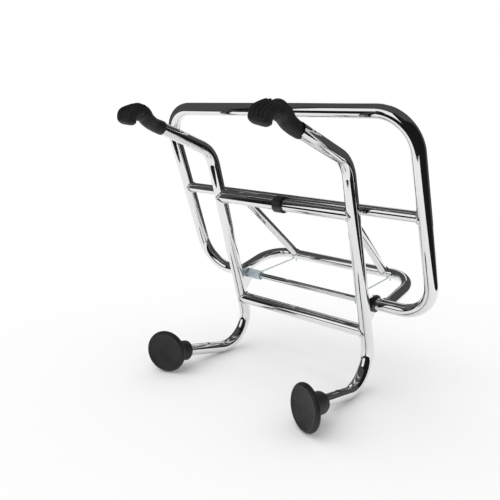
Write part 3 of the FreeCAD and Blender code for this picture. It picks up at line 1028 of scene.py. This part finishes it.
# %% [markdown]
# ## The studio
# The rack stands on a white table against a white background. Chrome shows its surroundings, so they are
# made like a real table-top studio: a dark room around the table, with one tall window to the left. The
# room's walls are seen only in reflections, and the white world shows through the window.


# %% Table
def plain_material(name, level):
    material, _, shader = finish_of(name)
    shader.inputs["Base Color"].default_value = (level, level, level, 1)
    shader.inputs["Roughness"].default_value = 0.9
    shader.inputs["Specular IOR Level"].default_value = 0.0
    return material


def stage_sheet(name, corners, material):
    mesh = bpy.data.meshes.new(name)
    mesh.from_pydata(corners, [], [tuple(range(len(corners)))])
    mesh.materials.append(material)
    sheet = linked(name, mesh)
    return sheet


TABLE_X = (-1.6, 0.41)
TABLE_Y = (-0.36, 1.5)
table_corners = [(TABLE_X[0], TABLE_Y[0], 0), (TABLE_X[1], TABLE_Y[0], 0)]
table_corners += [(TABLE_X[1], TABLE_Y[1], 0), (TABLE_X[0], TABLE_Y[1], 0)]
stage_sheet("table", table_corners, plain_material("white_table", 0.97))

# %% World
world = bpy.data.worlds.new("studio")
bpy.context.scene.world = world
world.use_nodes = True
sky = world.node_tree
sky.nodes.clear()
AMBIENT = 0.77
ray = add(sky, "ShaderNodeLightPath").outputs
ambient = add(sky, "ShaderNodeBackground", {"Color": (1, 1, 1, 1), "Strength": AMBIENT})
white = add(sky, "ShaderNodeBackground", {"Color": (1, 1, 1, 1), "Strength": 1.0})
mirror = add(sky, "ShaderNodeMath", {0: ray["Is Camera Ray"], 1: ray["Is Glossy Ray"]}, operation="MAXIMUM")
through = ray["Is Transmission Ray"]
direct = add(sky, "ShaderNodeMath", {0: mirror.outputs[0], 1: through}, operation="MAXIMUM")
seen = add(sky, "ShaderNodeMixShader", {0: direct.outputs[0], 1: ambient.outputs[0], 2: white.outputs[0]})
add(sky, "ShaderNodeOutputWorld", {"Surface": seen.outputs[0]})


# %% [markdown]
# ## The dark room
# Each wall is a flat card that only a reflection can see. The front wall is four cards round the window,
# and a bright panel on the back wall gives the rubber and the tubes' far sides something to show.


# %% Room
def card_material(name, level):
    material = bpy.data.materials.new(name)
    material.use_nodes = True
    tree = material.node_tree
    tree.nodes.clear()
    glow = add(tree, "ShaderNodeEmission", {"Color": (level, level, level, 1), "Strength": 1.0})
    add(tree, "ShaderNodeOutputMaterial", {"Surface": glow.outputs["Emission"]})
    return material


def card(name, corners, material):
    sheet = stage_sheet(name, corners, material)
    for kind in ("camera", "diffuse", "shadow", "transmission", "volume_scatter"):
        setattr(sheet, "visible_" + kind, False)


def upright_card(name, first, last, low, high, material):
    card(name, [(*first, low), (*last, low), (*last, high), (*first, high)], material)


ROOM = 2.2
ROOM_LOW = -0.8
ROOM_HIGH = 2.6
WINDOW_X = (-1.75, 0.3)
WINDOW_Z = (0.18, 1.75)
dim = card_material("dim_wall", 0.012)
grey = card_material("grey_ceiling", 0.075)
for label, height, material in (("room_floor", ROOM_LOW, dim), ("room_ceiling", ROOM_HIGH, grey)):
    card(label, [(x * ROOM, y * ROOM, height) for x, y in ((-1, -1), (1, -1), (1, 1), (-1, 1))], material)
upright_card("back_wall", (-ROOM, ROOM), (ROOM, ROOM), ROOM_LOW, ROOM_HIGH, grey)
PANEL_X = (-1.75, -0.75)
PANEL_Y = ROOM - 0.02
PANEL_Z = (0.9, 2.2)
bright = card_material("bright_panel", 0.95)
upright_card("back_panel", (PANEL_X[0], PANEL_Y), (PANEL_X[1], PANEL_Y), *PANEL_Z, bright)
upright_card("left_wall", (-ROOM, -ROOM), (-ROOM, ROOM), ROOM_LOW, ROOM_HIGH, grey)
upright_card("right_wall", (ROOM, -ROOM), (ROOM, ROOM), ROOM_LOW, ROOM_HIGH, dim)
upright_card("front_left", (-ROOM, -ROOM), (WINDOW_X[0], -ROOM), ROOM_LOW, ROOM_HIGH, dim)
upright_card("front_right", (WINDOW_X[1], -ROOM), (ROOM, -ROOM), ROOM_LOW, ROOM_HIGH, dim)
upright_card("front_low", (WINDOW_X[0], -ROOM), (WINDOW_X[1], -ROOM), ROOM_LOW, WINDOW_Z[0], dim)
upright_card("front_high", (WINDOW_X[0], -ROOM), (WINDOW_X[1], -ROOM), WINDOW_Z[1], ROOM_HIGH, grey)

# %% [markdown]
# ## Key light and camera
# A wide sun gives soft shadows and an even floor. The camera was worked out from the rack's own corners:
# a normal lens, a little above the top bar, behind and to the right.

# %% Light
key = bpy.data.lights.new("key", "SUN")
key.energy = 0.95
key.angle = math.radians(80)
key_lamp = linked("key", key)
key_lamp.rotation_euler = (math.radians(22), math.radians(-20), 0)
key_lamp.visible_glossy = False

# %% Camera
lens = bpy.data.cameras.new("camera")
lens.sensor_width = 36
lens.lens = 44.26
camera = linked("camera", lens)
CAMERA_AT = Vector((484.0, -581.65, 351.72)) * MM
YAW = math.radians(42.15)
PITCH = math.radians(-13.32)
ROLL = math.radians(0.24)
level_aim = Matrix.Rotation(YAW, 4, "Z") @ Matrix.Rotation(math.pi / 2 + PITCH, 4, "X")
aim = level_aim @ Matrix.Rotation(ROLL, 4, "Z")
camera.matrix_world = Matrix.Translation(CAMERA_AT) @ aim
bpy.context.scene.camera = camera
bpy.context.scene.view_settings.view_transform = "Standard"
